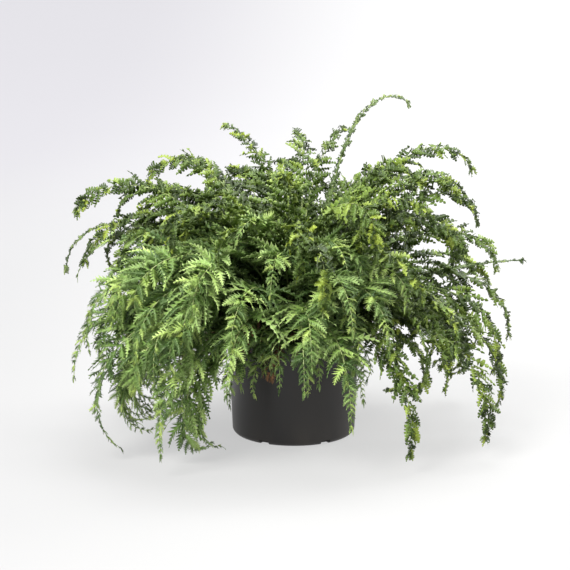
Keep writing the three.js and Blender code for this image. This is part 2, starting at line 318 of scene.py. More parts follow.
# Each habit of frond has its greens: deep, mid, light and flush.
LEAVES = {
    "lace": leaf_material(
        "lace_leaf", rgb(44, 78, 20), rgb(126, 170, 66), rgb(222, 242, 168), rgb(206, 224, 96)
    ),
    "crisped": leaf_material(
        "crisped_leaf", rgb(30, 50, 13), rgb(78, 110, 33), rgb(166, 192, 98), rgb(194, 210, 70)
    ),
    "tail": leaf_material(
        "tail_leaf", rgb(56, 78, 38), rgb(98, 122, 64), rgb(164, 186, 124), rgb(176, 190, 98)
    ),
}
STALK = stalk_material("stalk", rgb(66, 46, 30), rgb(116, 134, 74))
SCALE = bark_material("stalk_scales", rgb(60, 40, 24), rgb(128, 96, 60))
DEAD_LEAF = bark_material("dead_leaf", rgb(66, 42, 28), rgb(132, 96, 62))
LEAVES["withered"] = DEAD_LEAF
CROWN_BARK = bark_material("crown_bark", rgb(30, 21, 14), rgb(88, 62, 40))
PEAT = bark_material("peat_and_bark", rgb(20, 14, 10), rgb(74, 54, 36))

# ---- Reading a frond's line from its CAD solid ---------------------------------------------

CROWN = np.array(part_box("rhizome_crown"))
CROWN_HEART = np.array([*CROWN.mean(0)[:2], CROWN[0, 2]])
CROWN_RADIUS = (CROWN[1, 0] - CROWN[0, 0]) / 2


def cad_rows(name):
    """A frond solid's cross-sections from base to tip, as [row, corner, xyz]."""
    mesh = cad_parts[name].data
    points = np.array([v.co for v in mesh.vertices])
    merged, index = np.unique(np.round(points, 5), axis=0, return_inverse=True)
    index = index.ravel()
    near = [set() for _ in merged]
    for polygon in mesh.polygons:
        corners = [index[i] for i in polygon.vertices]
        for corner in corners:
            near[corner].update(corners)
    base = np.argsort(np.linalg.norm(merged - CROWN_HEART, axis=1))[:4]
    row, seen, rows = set(base), set(base), []
    while row:
        rows.append(merged[sorted(row)])
        row = {n for corner in row for n in near[corner]} - seen
        seen |= row
    assert all(len(r) == 4 for r in rows), f"{name} isn't a loft of four-cornered rows"
    return np.array(rows)


STEPS = 96
SHARES = np.linspace(0, 1, STEPS)


class Line:
    """A frond's rachis at even steps from base to tip: places, frames and how far leaf reaches."""

    def __init__(self, at, up, bare, reach):
        self.at, self.bare, self.reach = at, bare, reach
        self.along = unit(np.gradient(at, axis=0))
        self.up = unit(up - dot(up, self.along) * self.along)
        self.side = np.cross(self.along, self.up)
        self.length = np.linalg.norm(np.diff(at, axis=0), axis=1).sum()

    def read(self, what, share):
        return along_rows(getattr(self, what), SHARES, share)

    def reach_of(self, share):
        return np.interp(share, SHARES, self.reach)


def smooth_through(points, at, positions):
    """A Catmull-Rom curve through points, which lie at the places `at`."""
    slopes = np.gradient(points, at, axis=0)
    i = np.clip(np.searchsorted(at, positions, side="right") - 1, 0, len(at) - 2)
    span = (at[i + 1] - at[i])[:, None]
    t = (positions - at[i])[:, None] / span
    start, end = points[i], points[i + 1]
    rise = (1 + 2 * t) * (1 - t) ** 2 * start + t * t * (3 - 2 * t) * end
    return rise + (t * (1 - t) ** 2 * slopes[i] - t * t * (1 - t) * slopes[i + 1]) * span


# The three ways to pair off a row's four corners.
PAIRINGS = [((0, 1), (2, 3)), ((0, 2), (1, 3)), ((0, 3), (1, 2))]
FLAT = 3  # a row this many times as wide as thick is a blade, and a slimmer one is a bare stalk


def line_of(name):
    """The line of a frond's CAD solid.

    Where it is a blade, a row's closest two corners are the top and underside of its midrib.
    """
    centres, leaf_at, ups, reach = [], [], [], []
    for k, row in enumerate(cad_rows(name)):
        spans = [[np.linalg.norm(row[a] - row[b]) for a, b in pair] for pair in PAIRINGS]
        thin = min((s, p, i) for p, pair in enumerate(spans) for i, s in enumerate(pair))
        wide = max(max(pair) for pair in spans)
        if wide < FLAT * thin[0]:
            centres.append(row.mean(0))
            continue
        a, b = PAIRINGS[thin[1]][thin[2]]
        up = unit(row[a] - row[b])
        against = ups[-1] if ups else UP
        ups.append(up if up @ against > 0 else -up)
        centres.append((row[a] + row[b]) / 2)
        leaf_at.append(k)
        reach.append(wide / 2)
    centres = np.array(centres)
    run = np.cumsum(np.linalg.norm(np.diff(centres, axis=0, prepend=centres[:1]), axis=1))
    places = run / run[-1]
    leaf_at = places[leaf_at]
    bare = leaf_at[0] - (leaf_at[1] - leaf_at[0]) / 2
    first = 1.4 * reach[0] - 0.4 * reach[1]  # the outline carried on to where leaf begins
    reach = np.interp(SHARES, [bare, *leaf_at, 1.0], [first, *reach, 0.0])
    up = along_rows(np.array(ups), leaf_at, SHARES)
    return Line(smooth_through(centres, places, SHARES), up, bare, reach)


# ---- Growing a frond ----------------------------------------------------------------------

# What sets the habits of frond apart. Lengths are in metres and angles in degrees.
HABITS = {
    "lace": {
        "pitch": 0.0124,  # between two pairs of the longest pinnae
        "breadth": 0.009,  # half the width of a pinna
        "lobes": 8,  # down each side of a pinna
        "round": False,  # pointed teeth, or round lobes
        "notch": 0.16,  # how much of the breadth is left between two lobes
        "lean": 0.8,  # of a lobe towards the pinna's tip, as a share of its breadth
        "forward": 12,  # a pinna's angle towards the frond's tip, where it starts
        "curve": 0.8,  # and how hard it goes on turning that way
        "sag": 0.36,  # how hard it turns down
        "wander": 0.5,  # how freely it strays from that curve
        "fold": 0.2,  # how far the lobes rise from the pinna's midrib
        "ruffle": 0.4,  # how unevenly they rise
        "twist": 40,  # about its own midrib, from end to end
        "ragged": (1.05, 1.5),  # a pinna's length, as a share of what the frond's outline gives
        "crest": (3, 20),  # leaflets that end the frond, and the angle they fan out to
    },
    "crisped": {
        "pitch": 0.0098,
        "breadth": 0.005,
        "lobes": 6,
        "round": True,
        "notch": 0.12,
        "lean": 0.35,
        "forward": 20,
        "curve": 0.5,
        "sag": 0.35,
        "wander": 0.3,
        "fold": 0.15,
        "ruffle": 0.6,
        "twist": 42,
        "ragged": (0.55, 1.4),
        "crest": (6, 75),
    },
    "tail": {
        "pitch": 0.0085,
        "breadth": 0.0042,
        "lobes": 5,
        "round": True,
        "notch": 0.2,
        "lean": 0.4,
        "forward": 34,
        "curve": 0.5,
        "sag": 0.25,
        "wander": 0.25,
        "fold": 0.2,
        "ruffle": 0.5,
        "twist": 30,
        "ragged": (0.5, 1.4),
        "crest": (6, 75),
    },
}
HABITS["withered"] = {**HABITS["lace"], "pitch": 0.014, "sag": 1.4, "twist": 80, "ruffle": 0.8}
LEAF_HALF_THICKNESS = 0.00022

# A lobe's outline: place along it, share of the breadth, and share of its lean.
ROUND_LOBE = [(0.3, 0.95, 0.15), (0.72, 0.92, 0.5)]
POINTED_LOBE = [(0.5, 1.0, 1.0)]


def lobed(habit):
    """The stations along a pinna: place 0 to 1, share of the breadth, and lean towards the tip."""
    wave = ROUND_LOBE if habit["round"] else POINTED_LOBE
    wave = [(0.0, habit["notch"], 0.0), *wave]
    lobes = habit["lobes"]
    stations = [((i + t) / lobes, w, f) for i in range(lobes) for t, w, f in wave]
    return np.array([*stations, (1.0, 0.4, 0.3)]).T


def turned(v, axis, angle):
    """v turned about a unit axis that is square to it."""
    return v * np.cos(angle)[..., None] + np.cross(axis, v) * np.sin(angle)[..., None]


def grow_pinnae(
    build, habit, start, heading, normal, forward, length, breadth, on_frond, rng, material=ON_LEAF
):
    """Adds one pinna for each row of start.

    heading is where it sets off to, forward is where its curve takes it, and on_frond is its
    place on the frond, for the material.
    """
    place, width, lean = lobed(habit)
    count, stations = len(start), len(place)
    chance = rng.random(count)
    bend = forward * habit["curve"] * rng.uniform(0.7, 1.3, (count, 1))
    bend = bend - UP * habit["sag"] * rng.uniform(0.6, 1.6, (count, 1))
    wander = rng.normal(0, habit["wander"], (count, 3))
    twist = np.radians(rng.normal(0, habit["twist"], count))
    if habit["round"]:
        profile = np.minimum(1.0, 0.55 + 2.2 * place) * (1 - place**2.2) ** 0.75 + 0.06
    else:
        profile = np.minimum(1.0, 0.7 + 1.6 * place) * (1 - place) ** 0.8 + 0.04
    half = breadth[:, None] * profile * width
    ruffle = rng.normal(0, habit["ruffle"], (count, 2, habit["lobes"] + 1))
    ruffle = np.repeat(ruffle, math.ceil(stations / habit["lobes"]), axis=2)[..., :stations]
    thick = LEAF_HALF_THICKNESS * (1.7 - 1.1 * place)
    at, heading, normal = start.copy(), unit(heading), normal.copy()
    sections = np.empty((count, stations, 4, 3))
    steps = np.diff(place, prepend=0.0)
    for k in range(stations):
        at = at + heading * (steps[k] * length)[:, None]
        heading = unit(heading + (bend + wander * math.sin(5 * place[k])) * steps[k])
        normal = unit(normal - dot(normal, heading) * heading)
        normal = turned(normal, heading, twist * steps[k])
        side = np.cross(heading, normal)
        reach = half[:, k, None]
        lift = [habit["fold"] + ruffle[:, s, k, None] for s in (0, 1)]
        ahead = heading * reach * lean[k] * habit["lean"]
        sections[:, k, 0] = at - side * reach + normal * reach * lift[0] + ahead
        sections[:, k, 1] = at + normal * thick[k]
        sections[:, k, 2] = at + side * reach + normal * reach * lift[1] + ahead
        sections[:, k, 3] = at - normal * thick[k]
    data = np.empty((count, stations, 4, 4))
    data[..., 0] = on_frond[:, None, None]
    data[..., 1] = [1, 0, 1, 0]
    data[..., 2] = chance[:, None, None]
    data[..., 3] = place[None, :, None]
    build.add(sections, data, material)


STALK_CORNERS = 8
STALK_ROWS = 64
# Radii in mm, after the share of its length that they are at.
STALK_RADII = ((0.0, 2.1), (0.05, 1.5), (0.35, 1.05), (0.75, 0.6), (1.0, 0.3))
GROOVE = 0.55  # the radius along the top of a stalk, as a share of the rest


def grow_stalk(build, line):
    """A stalk with a groove along its top."""
    share = np.linspace(0, 1, STALK_ROWS)
    at, side, up = (line.read(what, share) for what in ("at", "side", "up"))
    radius = np.interp(share, *np.array(STALK_RADII).T)[:, None] * MM
    angles = math.pi - np.arange(STALK_CORNERS) * 2 * math.pi / STALK_CORNERS
    corners = []
    for angle in angles:
        groove = GROOVE if abs(angle - math.pi / 2) < 0.01 else 1.0
        corners.append(at + radius * (side * math.cos(angle) + up * math.sin(angle) * groove))
    sections = np.stack(corners, 1)[None]
    data = np.zeros(sections.shape[:3] + (4,))
    data[..., 0] = share[None, :, None]
    data[..., 1] = np.maximum(np.sin(angles), 0)
    data[..., 3] = share[None, :, None]
    build.add(sections, data, ON_STALK)


SCALE_PLACES = np.array([0.0, 0.3, 0.65, 1.0])  # along it
SCALE_WIDTHS = np.array([0.4, 1.0, 0.7, 0.05])  # there, as shares of its full width
SCALE_HALF_THICKNESS = 0.12 * MM
SCALES_PER_STALK = 16
SCALY_SHARE = 0.16  # of a stalk, from its foot


def papery(base, along, across, face, length, half_width, curl):
    """Thin pointed scales as [tube, row, corner, xyz]. Each curls towards its face."""
    sections = np.empty((len(base), len(SCALE_PLACES), 4, 3))
    for k, (t, w) in enumerate(zip(SCALE_PLACES, SCALE_WIDTHS * half_width)):
        centre = base + along * length * t + face * length * curl * t * t
        sections[:, k, 0] = centre - across * w
        sections[:, k, 1] = centre + face * SCALE_HALF_THICKNESS
        sections[:, k, 2] = centre + across * w
        sections[:, k, 3] = centre - face * SCALE_HALF_THICKNESS
    return sections


def chance_data(sections, rng):
    """Growth data for sections that have only a chance value, one for each tube."""
    data = np.zeros(sections.shape[:3] + (4,))
    data[..., 2] = rng.random(len(sections))[:, None, None]
    return data


def grow_scales(build, line, rng):
    """Papery brown scales, lying close along the foot of the stalk."""
    count = SCALES_PER_STALK
    share = np.sort(rng.uniform(0.0, SCALY_SHARE, count)) ** 1.2
    at, along, side, up = (line.read(what, share) for what in ("at", "along", "side", "up"))
    turn = rng.uniform(0, 2 * math.pi, count)[:, None]
    out = side * np.cos(turn) + up * np.sin(turn)
    length = rng.uniform(3.0, 6.5, (count, 1)) * MM
    base = at + out * 1.5 * MM
    scales = papery(base, along, np.cross(along, out), out, length, 0.8 * MM, 0.22)
    build.add(scales, chance_data(scales, rng), ON_SCALE)


def grow_crest(build, habit, line, rng):
    """The forked, curled tassel that ends a frond."""
    count, spread = habit["crest"]
    fan = np.radians(np.linspace(-spread, spread, count) + rng.normal(0, 8, count))[:, None]
    end = np.full(count, 1.0)
    at, along, side, up = (line.read(what, end) for what in ("at", "along", "side", "up"))
    heading = along * np.cos(fan) + side * np.sin(fan) + up * rng.normal(0, 0.3, (count, 1))
    length = rng.uniform(7, 13, count) * MM
    breadth = rng.uniform(1.8, 2.8, count) * MM
    curl = {**habit, "sag": 1.3, "twist": 60, "curve": 0.2}
    grow_pinnae(build, curl, at - along * MM, heading, up, along, length, breadth, end, rng)


LEAF_END = 0.995  # of the stalk's length
LEAST_PITCH = 0.45  # between the shortest pinnae, as a share of that between the longest
LEAST_PINNA = 3 * MM
STAGGER = 0.25  # of the pitch, between the pinnae on one side and those on the other
TIPWARD = 22  # degrees, how much more the last pinnae lean to the tip than the first
BROADEST = 0.36  # half the width of a short pinna, as a share of its length


def grow_frond(build, habit, line, rng):
    """One whole frond: grooved stalk, brown scales, two ranks of pinnae and a crest."""
    grow_stalk(build, line)
    grow_scales(build, line, rng)
    leafy = np.linspace(line.bare, LEAF_END, STEPS)
    fullness = line.reach_of(leafy) / line.reach.max()
    crowding = 1 / (LEAST_PITCH + (1 - LEAST_PITCH) * fullness)
    crowding *= line.length * (leafy[1] - leafy[0]) / habit["pitch"]
    pair = np.cumsum(crowding)  # how many pairs of pinnae there are up to each place in leafy
    sag, curve = habit["sag"] * rng.uniform(0.3, 2.2), habit["curve"] * rng.uniform(0.5, 1.3)
    habit = {**habit, "sag": sag, "curve": curve}
    pairs = int(pair[-1])
    for sign in (-1, 1):
        stagger = STAGGER if sign > 0 else 0.0
        steps = np.arange(pairs) + stagger + rng.normal(0, 0.12, pairs)
        share = np.interp((steps + 0.3) / (pairs + 0.4) * pair[-1], pair, leafy)
        at, along, side, up = (line.read(what, share) for what in ("at", "along", "side", "up"))
        angle = habit["forward"] + TIPWARD * share + rng.normal(0, 7, pairs)
        angle = np.radians(angle)[:, None]
        heading = sign * side * np.cos(angle) + along * np.sin(angle)
        heading = heading + up * rng.normal(0.12, 0.16, (pairs, 1))
        tilt = np.radians(rng.normal(12, habit["twist"] * 0.6, pairs)) * sign
        normal = turned(unit(up - dot(up, unit(heading)) * unit(heading)), unit(heading), tilt)
        ragged = rng.uniform(*habit["ragged"], pairs)
        length = line.reach_of(share) * ragged + LEAST_PINNA
        breadth = np.minimum(habit["breadth"], BROADEST * length)
        breadth = breadth * rng.uniform(0.85, 1.15, pairs)
        grow_pinnae(build, habit, at, heading, normal, along, length, breadth, share, rng)
    grow_crest(build, habit, line, rng)


def frond_piece(build, name, habit_name, replaces=None):
    """Makes the piece of one or more fronds of a habit."""
    materials = [LEAVES[habit_name], STALK, SCALE]
    slot = "lace_frond" if habit_name == "withered" else habit_name + "_frond"
    build.piece(name, materials, slot, replaces)


def habit_of(node):
    """The habit that a CAD node's name starts with."""
    return node.split("_")[0]


SEED = 17

rng = np.random.default_rng(SEED)
lines = {node: line_of(node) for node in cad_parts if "_frond_" in node}
for node, line in lines.items():
    build = Build()
    grow_frond(build, HABITS[habit_of(node)], line, rng)
    frond_piece(build, "leafy_" + node, habit_of(node), node)

# ---- Young fronds --------------------------------------------------------------------------

# Younger and shorter fronds fill the plant between the main ones. Each row draws a number of
# them from ranges: of heading, launch, length in mm and tip. Angles are in degrees: heading from
# +X towards +Y, and launch and tip, the slopes where it starts and ends, from level.
YOUNG = [
    ("lace", 12, (178, 250), (16, 36), (120, 185), (-100, -50)),
    ("lace", 8, (232, 290), (8, 26), (115, 165), (-100, -60)),
    ("lace", 12, (276, 325), (16, 38), (125, 180), (-100, -60)),
    ("lace", 40, (188, 242), (18, 54), (230, 335), (-150, -85)),
    ("lace", 18, (165, 232), (46, 76), (190, 290), (-120, -50)),
    ("lace", 8, (284, 316), (44, 72), (180, 250), (-100, -50)),
    ("crisped", 26, (-50, 165), (22, 48), (150, 240), (-110, -50)),
    ("crisped", 13, (-55, 12), (20, 50), (210, 290), (-130, -85)),
    ("crisped", 22, (20, 178), (34, 64), (220, 310), (-100, -40)),
    ("crisped", 30, (0, 360), (66, 86), (220, 310), (-90, 10)),
    ("crisped", 12, (160, 205), (56, 80), (250, 340), (-130, -40)),
    ("withered", 9, (180, 330), (12, 56), (90, 165), (-120, -60)),
]
YOUNG_PER_PIECE = 12
INSET = 12 * MM  # how far inside the CAD box a young frond's stalk stays
CURLED_END = 0.72  # where along it a young frond starts to curl under
SHRINK = 0.95  # what a young frond's steps are cut to, until its stalk stays inside
SWERVE = 20  # degrees, the usual swerve to one side by its tip
WAVER = 5  # degrees, the usual sway from side to side on the way
ROLL = 32  # degrees, the usual roll about its stalk by its tip


def dome_height(radius):
    """The height of the crown's surface at a distance from its axis."""
    rise = CROWN[1, 2] - CROWN[0, 2]
    sphere = (CROWN_RADIUS**2 + rise**2) / (2 * rise)
    return CROWN[1, 2] - sphere + math.sqrt(sphere**2 - radius**2)


def young_line(ranges, model, rng):
    """A line that leaves the crown and bends over, with leaf like that of a main line."""
    heading, launch, length, tip = (rng.uniform(low, high) for low, high in ranges)
    heading, launch, tip = np.radians([heading, launch, tip])
    at_end = np.clip((SHARES - CURLED_END) / (1 - CURLED_END), 0, 1)
    curl = np.radians(rng.uniform(0, 110)) * at_end**2
    slope = launch + (tip - launch) * SHARES ** rng.uniform(1.3, 2.6) - curl
    turn = heading + np.radians(rng.normal(0, SWERVE)) * SHARES**2
    turn = turn + np.radians(rng.normal(0, WAVER)) * np.sin(SHARES * rng.uniform(5, 9))
    out = np.stack([np.cos(turn), np.sin(turn), np.zeros(STEPS)], -1)
    along = out * np.cos(slope)[:, None] + UP * np.sin(slope)[:, None]
    up = np.cross(np.cross(out, UP), along)
    up = turned(up, along, np.radians(rng.normal(0, ROLL)) * SHARES)
    radius = CROWN_RADIUS * (0.9 - 0.8 * launch / (math.pi / 2))
    base = np.array([radius * math.cos(heading), radius * math.sin(heading), dome_height(radius)])
    reach = model.reach_of(SHARES ** rng.uniform(1.0, 1.9))
    reach = reach * rng.uniform(0.65, 0.95) * min(1.0, length * MM / model.length)
    step = length * MM / (STEPS - 1)
    low, high = np.array(cad_box) + [[INSET], [-INSET]]
    while True:
        at = base + np.cumsum(along, axis=0) * step
        if (at > low).all() and (at < high).all():
            return Line(at, up, model.bare, reach)
        step *= SHRINK


for habit_name, habit in HABITS.items():
    like = "lace" if habit_name == "withered" else habit_name
    models = [line for node, line in lines.items() if habit_of(node) == like]
    rows = [row for row in YOUNG if row[0] == habit_name]
    young = [
        young_line(ranges, models[rng.integers(len(models))], rng)
        for _, count, *ranges in rows
        for _ in range(count)
    ]
    for first in range(0, len(young), YOUNG_PER_PIECE):
        build = Build()
        for line in young[first : first + YOUNG_PER_PIECE]:
            grow_frond(build, habit, line, rng)
        number = first // YOUNG_PER_PIECE + 1
        frond_piece(build, f"small_{habit_name}_fronds_{number}", habit_name)

# ---- Pot ----------------------------------------------------------------------------------

POT = np.array(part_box("nursery_pot"))
POT_HEIGHT = POT[1, 2]
RIM_RADIUS = POT[1, 0]
BASE_RADIUS = 78 * MM
TOP_RADIUS = 84 * MM  # of the wall, under the rim
WALL = 1.6 * MM
FLOOR_TOP = 2.4 * MM
RIM_DEPTH = 9 * MM
LEDGE_DEPTH = 26 * MM  # from the top down to the step that keeps nested pots apart
LEDGE = 0.8 * MM
RECESS_RADIUS = 66 * MM  # of the base's middle, which stands clear of the ground
RECESS = 0.8 * MM
POT_SEGMENTS = 192
SLOTS = 6
SLOT_SIZE = (20 * MM, 13 * MM, 10 * MM)  # through the wall, along it and up, half below ground
FIRST_SLOT_ANGLE = math.radians(1)
DRAIN_RING_RADIUS = 42 * MM
DRAIN_RADIUS = 4.5 * MM
DRAIN_SEGMENTS = 32


def softened(corners, steps=4):
    """A closed profile of [radius, height, softness], with a short curve at each soft corner."""
    points = []
    for i, (r, z, soft) in enumerate(corners):
        corner = np.array([r, z])
        if not soft:
            points.append(corner)
            continue
        before, after = (np.array(corners[(i + k) % len(corners)][:2]) for k in (-1, 1))
        enter = corner + unit(before - corner) * soft
        leave = corner + unit(after - corner) * soft
        for t in np.linspace(0, 1, steps + 1):
            points.append((1 - t) ** 2 * enter + 2 * t * (1 - t) * corner + t * t * leave)
    return np.array(points)


def lathe(profile, segments):
    """A mesh of a profile of [radius, height] that starts and ends on the Z axis."""
    angles = np.arange(segments) * 2 * math.pi / segments
    inner = profile[1:-1]
    rings = np.stack(
        [
            inner[:, None, 0] * np.cos(angles),
            inner[:, None, 0] * np.sin(angles),
            np.broadcast_to(inner[:, None, 1], (len(inner), segments)),
        ],
        -1,
    )
    vertices = [*rings.reshape(-1, 3), (0, 0, profile[0][1]), (0, 0, profile[-1][1])]
    foot, head = len(vertices) - 2, len(vertices) - 1
    faces = []
    for i in range(segments):
        j = (i + 1) % segments
        for row in range(len(inner) - 1):
            low, high = row * segments, (row + 1) * segments
            faces.append((low + i, low + j, high + j, high + i))
        top = (len(inner) - 1) * segments
        faces += [(foot, j, i), (head, top + i, top + j)]
    mesh = bpy.data.meshes.new("lathe")
    mesh.from_pydata(vertices, [], faces)
    return mesh


def block(size, centre, turn):
    """A box as a mesh, moved out along X to its centre and then turned about Z."""
    corners = np.array([(x, y, z) for x in (-1, 1) for y in (-1, 1) for z in (-1, 1)]) / 2
    corners = corners * size + centre
    corners = np.stack(
        [
            corners[:, 0] * math.cos(turn) - corners[:, 1] * math.sin(turn),
            corners[:, 0] * math.sin(turn) + corners[:, 1] * math.cos(turn),
            corners[:, 2],
        ],
        -1,
    )
    faces = [(0, 1, 3, 2), (4, 6, 7, 5), (0, 4, 5, 1), (2, 3, 7, 6), (0, 2, 6, 4), (1, 5, 7, 3)]
    mesh = bpy.data.meshes.new("block")
    mesh.from_pydata(corners, [], faces)
    return mesh


def plug(radius, half_height, at):
    """A round cutter that stands upright at a place."""
    side = [(radius, -half_height), (radius, half_height)]
    mesh = lathe(np.array([(0, -half_height), *side, (0, half_height)]), DRAIN_SEGMENTS)
    for vertex in mesh.vertices:
        vertex.co += Vector(at)
    return mesh


def cut(mesh, cutters):
    """The mesh with all of the cutters taken out of it."""
    body = bpy.data.objects.new("body", mesh)
    bpy.context.collection.objects.link(body)
    tools = []
    for cutter in cutters:
        tool = bpy.data.objects.new("cutter", cutter)
        bpy.context.collection.objects.link(tool)
        step = body.modifiers.new("cut", "BOOLEAN")
        step.operation = "DIFFERENCE"
        step.solver = "EXACT"
        step.object = tool
        tools.append(tool)
    evaluated = body.evaluated_get(bpy.context.evaluated_depsgraph_get())
    result = bpy.data.meshes.new_from_object(evaluated)
    for done in (body, *tools):
        bpy.data.objects.remove(done)
    return result


def wall_radius(z):
    """The outside of the wall at a height."""
    return BASE_RADIUS + (TOP_RADIUS - BASE_RADIUS) * z / POT_HEIGHT


def pot_mesh():
    """The pot: a turned profile with drainage slots round its foot and holes in its base."""
    rim_foot = POT_HEIGHT - RIM_DEPTH
    ledge = POT_HEIGHT - LEDGE_DEPTH
    profile = softened(
        [
            (0, RECESS, 0),
            (RECESS_RADIUS, RECESS, 0.4 * MM),
            (RECESS_RADIUS + RECESS, 0, 0.4 * MM),
            (BASE_RADIUS - 3 * MM, 0, 2 * MM),
            (wall_radius(4 * MM), 4 * MM, 2 * MM),
            (wall_radius(ledge) - LEDGE, ledge - LEDGE, 0.4 * MM),
            (wall_radius(ledge), ledge, 0.4 * MM),
            (wall_radius(rim_foot), rim_foot - 2 * MM, 0.5 * MM),
            (RIM_RADIUS, rim_foot, 0.8 * MM),
            (RIM_RADIUS, POT_HEIGHT, 1.2 * MM),
            (wall_radius(POT_HEIGHT) - WALL, POT_HEIGHT, 1.0 * MM),
            (wall_radius(5 * MM) - WALL, 5 * MM, 2 * MM),
            (BASE_RADIUS - 5 * MM, FLOOR_TOP, 1 * MM),
            (0, FLOOR_TOP, 0),
        ]
    )
    cutters = []
    for i in range(SLOTS):
        slot = FIRST_SLOT_ANGLE + i * 2 * math.pi / SLOTS
        cutters.append(block(SLOT_SIZE, (BASE_RADIUS, 0, 0), slot))
        drain = slot + math.pi / SLOTS
        at = (DRAIN_RING_RADIUS * math.cos(drain), DRAIN_RING_RADIUS * math.sin(drain), 0)
        cutters.append(plug(DRAIN_RADIUS, 8 * MM, at))
    mesh = cut(lathe(profile, POT_SEGMENTS), cutters)
    mesh.polygons.foreach_set("use_smooth", [True] * len(mesh.polygons))
    mesh.set_sharp_from_angle(angle=math.radians(32))
    return mesh


pot = bpy.data.objects.new("moulded_pot", pot_mesh())
finished(pot, [pot_material()], "nursery_pot")

# ---- Potting mix and crown ----------------------------------------------------------------

MIX = np.array(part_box("potting_mix"))
MIX_RADIUS = MIX[1, 0]
MIX_EDGE = 116 * MM  # height where it meets the wall
MIX_LEVEL = 58 * MM  # radius of the level middle
MIX_SIDE = ((76, 7), (71, 2.8), (1, 2.8))  # radius and height in mm, down inside the pot
MIX_ROWS, MIX_SEGMENTS = 44, 128
CRUMBS, CHIPS = 1600, 90
LUMP_CORNERS = 8


def mix_height(radius):
    """The height of the mix's surface at a distance from the axis."""
    fall = np.clip((radius - MIX_LEVEL) / (MIX_RADIUS - MIX_LEVEL), 0, 1)
    return MIX[1, 2] - (MIX[1, 2] - MIX_EDGE) * fall


def lumps(at, size, flat, rng):
    """Small rough lumps as [tube, row, corner, xyz]: each is a short loft, turned at random.

    size is half a lump's length, and flat scales how far that length may point up.
    """
    count = len(at)
    place = np.array([-1.0, -0.6, 0.1, 0.7, 1.0])  # along its length
    around = np.arange(LUMP_CORNERS) * 2 * math.pi / LUMP_CORNERS
    axes = rng.normal(size=(count, 3, 3))
    axes[:, 0, 2] *= flat
    long = unit(axes[:, 0])
    wide = unit(np.cross(long, axes[:, 1]))
    deep = np.cross(long, wide)
    sections = np.empty((count, len(place), LUMP_CORNERS, 3))
    for k, t in enumerate(place):
        girth = math.sqrt(max(1 - t * t, 0)) + 0.12
        rough = rng.uniform(0.6, 1.25, (count, LUMP_CORNERS))
        across = 0.7 * wide[:, None] * np.cos(around)[:, None]
        across = across + 0.45 * deep[:, None] * np.sin(around)[:, None]
        shape = long[:, None] * t + across * (girth * rough)[..., None]
        sections[:, k] = at[:, None] + size[:, None, None] * shape
    return sections


def scatter(count, reach, rng):
    """Random places on the mix's surface, up to reach from the axis."""
    radius = reach * np.sqrt(rng.random(count))
    turn = rng.uniform(0, 2 * math.pi, count)
    return np.stack([radius * np.cos(turn), radius * np.sin(turn), mix_height(radius)], -1)


def mix_surface(rng):
    """The bed of the mix: a rough round bed inside the pot, as one loft down its sides."""
    top = np.linspace(0.02, 1.0, MIX_ROWS) * (MIX_RADIUS - 1.5 * MM)
    rough = rng.normal(0, 0.9 * MM, (MIX_ROWS, MIX_SEGMENTS))
    rough = (rough + np.roll(rough, 1, 1) + np.roll(rough, 1, 0)) / 1.7
    rough = np.clip(rough, -2.2 * MM, 1.2 * MM)
    angles = -np.arange(MIX_SEGMENTS) * 2 * math.pi / MIX_SEGMENTS
    side = np.array(MIX_SIDE) * MM
    radii = [*top, *side[:, 0]]
    heights = [*mix_height(top), *side[:, 1]]
    sections = np.empty((1, len(radii), MIX_SEGMENTS, 3))
    for k, (radius, height) in enumerate(zip(radii, heights)):
        sections[0, k, :, 0] = radius * np.cos(angles)
        sections[0, k, :, 1] = radius * np.sin(angles)
        sections[0, k, :, 2] = height + (rough[k] - 0.6 * MM if k < MIX_ROWS else 0)
    return sections


mix = Build()
mix.add(mix_surface(rng), (0, 0, 0.3, 0), ON_PEAT)
crumb_at, crumb_size = scatter(CRUMBS, MIX_RADIUS - 4 * MM, rng), rng.uniform(0.8, 3.2, CRUMBS)
crumbs = lumps(crumb_at, crumb_size * MM, 0.4, rng)
mix.add(crumbs, chance_data(crumbs, rng), ON_PEAT)
chip_at, chip_size = scatter(CHIPS, MIX_RADIUS - 8 * MM, rng), rng.uniform(3, 7, CHIPS)
chips = lumps(chip_at, chip_size * MM, 0.2, rng)
mix.add(chips, chance_data(chips, rng), ON_CHIP)
mix.piece("peat_and_bark_mix", [PEAT, CROWN_BARK], "potting_mix", "potting_mix", smooth=False)


def on_crown(count, sunk, rng):
    """Random places on the crown and the way out from its axis there, sunk in by a little."""
    radius = CROWN_RADIUS * np.sqrt(rng.uniform(0.02, 0.97, count))
    turn = rng.uniform(0, 2 * math.pi, count)
    out = np.stack([np.cos(turn), np.sin(turn), np.zeros(count)], -1)
    height = np.array([dome_height(r) for r in radius]) - sunk
    return out * radius[:, None] + UP * height[:, None], out


STUBS, CROWN_SCALES, DEAD_LEAVES = 110, 700, 130
STUB_CORNERS, STUB_ROWS = 8, 7
DOME_ROWS, DOME_SEGMENTS = 22, 72


